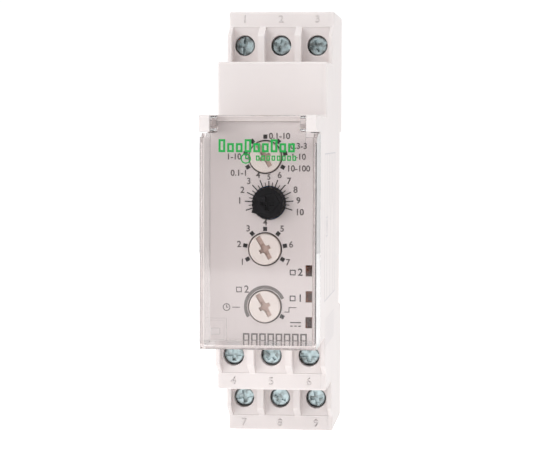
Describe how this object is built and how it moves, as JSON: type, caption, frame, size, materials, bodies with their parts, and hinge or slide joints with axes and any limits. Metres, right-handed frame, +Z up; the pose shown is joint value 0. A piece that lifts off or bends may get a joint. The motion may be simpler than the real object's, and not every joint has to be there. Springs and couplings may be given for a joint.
{
  "type": "din rail timer",
  "caption": "Slim timing relay that clips on a mounting rail, with a hinged clear cover over dials, lamps and a faceplate, and rows of screw terminals.",
  "frame": {"origin": "middle of the seat face that rests on the front of the mounting rail", "axes": "+Y towards the panel behind the rail, +Z up, +X to the right seen from the front"},
  "size_m": [0.0226, 0.0726, 0.09],
  "materials": {
    "housing": "fine matt moulded",
    "clear_cover": "clear, lightly smoky",
    "faceplate": "matt light grey with printed scales",
    "white_knob": "satin moulded",
    "black_knob": "satin moulded",
    "switch_black": "moulded",
    "switch_blue": "moulded",
    "light_guide": "dark amber clear",
    "lamp": "moulded",
    "board": "solder-masked board",
    "chip": "moulded",
    "capacitor_sleeve": "shrink sleeve",
    "film_box": "moulded box",
    "varistor_blue": "dipped",
    "ferrite": "sintered",
    "relay_case": "moulded",
    "copper_coil": "enamelled wire",
    "relay_steel": "plated",
    "contact_copper": "stamped",
    "zinc_screw": "bright zinc",
    "zinc_clamp": "bright zinc",
    "latch": "moulded",
    "spring_steel": "bright wire"
  },
  "bodies": {
    "casing": {"main_housing": "housing", "side_cover": "housing", "faceplate": "faceplate", "selector_switches": "switch_black", "time_potentiometer": "switch_blue", "light_guides": "light_guide", "lamps": "lamp", "control_board": "board", "main_board": "board", "board_header": "switch_black", "microcontroller": "chip", "chip_resistors": "chip", "smoothing_capacitor": "capacitor_sleeve", "dropper_capacitor": "film_box", "varistor": "varistor_blue", "transformer": "ferrite", "relay_1_case": "relay_case", "relay_1_base": "switch_black", "relay_1_coil": "copper_coil", "relay_1_yoke": "relay_steel", "relay_1_contacts": "contact_copper", "relay_2_case": "relay_case", "relay_2_base": "switch_black", "relay_2_coil": "copper_coil", "relay_2_yoke": "relay_steel", "relay_2_contacts": "contact_copper", "top_contact_bars": "contact_copper", "middle_contact_bars": "contact_copper", "bottom_contact_bars": "contact_copper", "latch_spring": "spring_steel"},
    "rail_latch": {"rail_latch": "latch"},
    "front_cover": {"front_cover": "clear_cover"},
    "range_knob": {"range_knob": "white_knob"},
    "time_knob": {"time_knob": "black_knob"},
    "function_knob": {"function_knob": "white_knob"},
    "output_knob": {"output_knob": "white_knob"},
    "relay_1_armature": {"relay_1_armature": "relay_steel", "relay_1_leaf": "contact_copper"},
    "relay_2_armature": {"relay_2_armature": "relay_steel", "relay_2_leaf": "contact_copper"},
    "top_screw_1": {"top_screw_1": "zinc_screw"},
    "top_clamp_1": {"top_clamp_1": "zinc_clamp"},
    "top_screw_2": {"top_screw_2": "zinc_screw"},
    "top_clamp_2": {"top_clamp_2": "zinc_clamp"},
    "top_screw_3": {"top_screw_3": "zinc_screw"},
    "top_clamp_3": {"top_clamp_3": "zinc_clamp"},
    "middle_screw_1": {"middle_screw_1": "zinc_screw"},
    "middle_clamp_1": {"middle_clamp_1": "zinc_clamp"},
    "middle_screw_2": {"middle_screw_2": "zinc_screw"},
    "middle_clamp_2": {"middle_clamp_2": "zinc_clamp"},
    "middle_screw_3": {"middle_screw_3": "zinc_screw"},
    "middle_clamp_3": {"middle_clamp_3": "zinc_clamp"},
    "bottom_screw_1": {"bottom_screw_1": "zinc_screw"},
    "bottom_clamp_1": {"bottom_clamp_1": "zinc_clamp"},
    "bottom_screw_2": {"bottom_screw_2": "zinc_screw"},
    "bottom_clamp_2": {"bottom_clamp_2": "zinc_clamp"},
    "bottom_screw_3": {"bottom_screw_3": "zinc_screw"},
    "bottom_clamp_3": {"bottom_clamp_3": "zinc_clamp"}
  },
  "joints": [
    {"name": "cover_hinge", "type": "hinge", "parent": "casing", "child": "front_cover", "pos_m": [0, -0.0654, 0.0209], "axis": [-1, 0, 0], "range_deg": [0, 110]},
    {"name": "range_turn", "type": "hinge", "parent": "casing", "child": "range_knob", "pos_m": [0.0004, -0.057, 0.0144], "axis": [0, -1, 0], "range_deg": [-150, 90]},
    {"name": "time_turn", "type": "hinge", "parent": "casing", "child": "time_knob", "pos_m": [0.00115, -0.057, 0.0054], "axis": [0, -1, 0], "range_deg": [-240, 0]},
    {"name": "function_turn", "type": "hinge", "parent": "casing", "child": "function_knob", "pos_m": [0.0004, -0.057, -0.0037], "axis": [0, -1, 0], "range_deg": [-150, 90]},
    {"name": "output_turn", "type": "hinge", "parent": "casing", "child": "output_knob", "pos_m": [0.0004, -0.057, -0.015], "axis": [0, -1, 0], "range_deg": [-150, 90]},
    {"name": "top_screw_1_turn", "type": "hinge", "parent": "casing", "child": "top_screw_1", "pos_m": [-0.00795, -0.0182, 0.0378], "axis": [0, 1, 0], "range_deg": [0, 2600]},
    {"name": "top_clamp_1_rise", "type": "slide", "parent": "casing", "child": "top_clamp_1", "axis": [0, -1, 0], "range_m": [0, 0.0036]},
    {"name": "top_screw_2_turn", "type": "hinge", "parent": "casing", "child": "top_screw_2", "pos_m": [-0.00015, -0.0182, 0.0378], "axis": [0, 1, 0], "range_deg": [0, 2600]},
    {"name": "top_clamp_2_rise", "type": "slide", "parent": "casing", "child": "top_clamp_2", "axis": [0, -1, 0], "range_m": [0, 0.0036]},
    {"name": "top_screw_3_turn", "type": "hinge", "parent": "casing", "child": "top_screw_3", "pos_m": [0.00765, -0.0182, 0.0378], "axis": [0, 1, 0], "range_deg": [0, 2600]},
    {"name": "top_clamp_3_rise", "type": "slide", "parent": "casing", "child": "top_clamp_3", "axis": [0, -1, 0], "range_m": [0, 0.0036]},
    {"name": "bottom_screw_1_turn", "type": "hinge", "parent": "casing", "child": "bottom_screw_1", "pos_m": [-0.00795, -0.0182, -0.038], "axis": [0, 1, 0], "range_deg": [0, 2600]},
    {"name": "bottom_clamp_1_rise", "type": "slide", "parent": "casing", "child": "bottom_clamp_1", "axis": [0, -1, 0], "range_m": [0, 0.0036]},
    {"name": "bottom_screw_2_turn", "type": "hinge", "parent": "casing", "child": "bottom_screw_2", "pos_m": [-0.00015, -0.0182, -0.038], "axis": [0, 1, 0], "range_deg": [0, 2600]},
    {"name": "bottom_clamp_2_rise", "type": "slide", "parent": "casing", "child": "bottom_clamp_2", "axis": [0, -1, 0], "range_m": [0, 0.0036]},
    {"name": "bottom_screw_3_turn", "type": "hinge", "parent": "casing", "child": "bottom_screw_3", "pos_m": [0.00765, -0.0182, -0.038], "axis": [0, 1, 0], "range_deg": [0, 2600]},
    {"name": "bottom_clamp_3_rise", "type": "slide", "parent": "casing", "child": "bottom_clamp_3", "axis": [0, -1, 0], "range_m": [0, 0.0036]},
    {"name": "middle_screw_1_turn", "type": "hinge", "parent": "casing", "child": "middle_screw_1", "pos_m": [-0.00795, -0.0374, -0.0267], "axis": [0, 1, 0], "range_deg": [0, 2600]},
    {"name": "middle_clamp_1_rise", "type": "slide", "parent": "casing", "child": "middle_clamp_1", "axis": [0, -1, 0], "range_m": [0, 0.0036]},
    {"name": "middle_screw_2_turn", "type": "hinge", "parent": "casing", "child": "middle_screw_2", "pos_m": [-0.00015, -0.0374, -0.0267], "axis": [0, 1, 0], "range_deg": [0, 2600]},
    {"name": "middle_clamp_2_rise", "type": "slide", "parent": "casing", "child": "middle_clamp_2", "axis": [0, -1, 0], "range_m": [0, 0.0036]},
    {"name": "middle_screw_3_turn", "type": "hinge", "parent": "casing", "child": "middle_screw_3", "pos_m": [0.00765, -0.0374, -0.0267], "axis": [0, 1, 0], "range_deg": [0, 2600]},
    {"name": "middle_clamp_3_rise", "type": "slide", "parent": "casing", "child": "middle_clamp_3", "axis": [0, -1, 0], "range_m": [0, 0.0036]},
    {"name": "relay_1_armature_tilt", "type": "hinge", "parent": "casing", "child": "relay_1_armature", "pos_m": [0.0051, -0.0299, 0.01195], "axis": [0, 1, 0], "range_deg": [0, 3], "stiffness_Nm_per_rad": 0.01, "springref_deg": -5.73},
    {"name": "relay_2_armature_tilt", "type": "hinge", "parent": "casing", "child": "relay_2_armature", "pos_m": [0.0051, -0.0166, 0.01195], "axis": [0, 1, 0], "range_deg": [0, 3], "stiffness_Nm_per_rad": 0.01, "springref_deg": -5.73},
    {"name": "latch_slide", "type": "slide", "parent": "casing", "child": "rail_latch", "axis": [0, 0, -1], "range_m": [0, 0.003], "stiffness_N_per_m": 800, "springref_m": -0.002, "deforming": ["latch_spring"]}
  ],
  "couplings": [
    {"joint": "top_screw_1_turn", "follows": "top_clamp_1_rise", "rad_per_m": 12566},
    {"joint": "top_screw_2_turn", "follows": "top_clamp_2_rise", "rad_per_m": 12566},
    {"joint": "top_screw_3_turn", "follows": "top_clamp_3_rise", "rad_per_m": 12566},
    {"joint": "bottom_screw_1_turn", "follows": "bottom_clamp_1_rise", "rad_per_m": 12566},
    {"joint": "bottom_screw_2_turn", "follows": "bottom_clamp_2_rise", "rad_per_m": 12566},
    {"joint": "bottom_screw_3_turn", "follows": "bottom_clamp_3_rise", "rad_per_m": 12566},
    {"joint": "middle_screw_1_turn", "follows": "middle_clamp_1_rise", "rad_per_m": 12566},
    {"joint": "middle_screw_2_turn", "follows": "middle_clamp_2_rise", "rad_per_m": 12566},
    {"joint": "middle_screw_3_turn", "follows": "middle_clamp_3_rise", "rad_per_m": 12566}
  ]
}
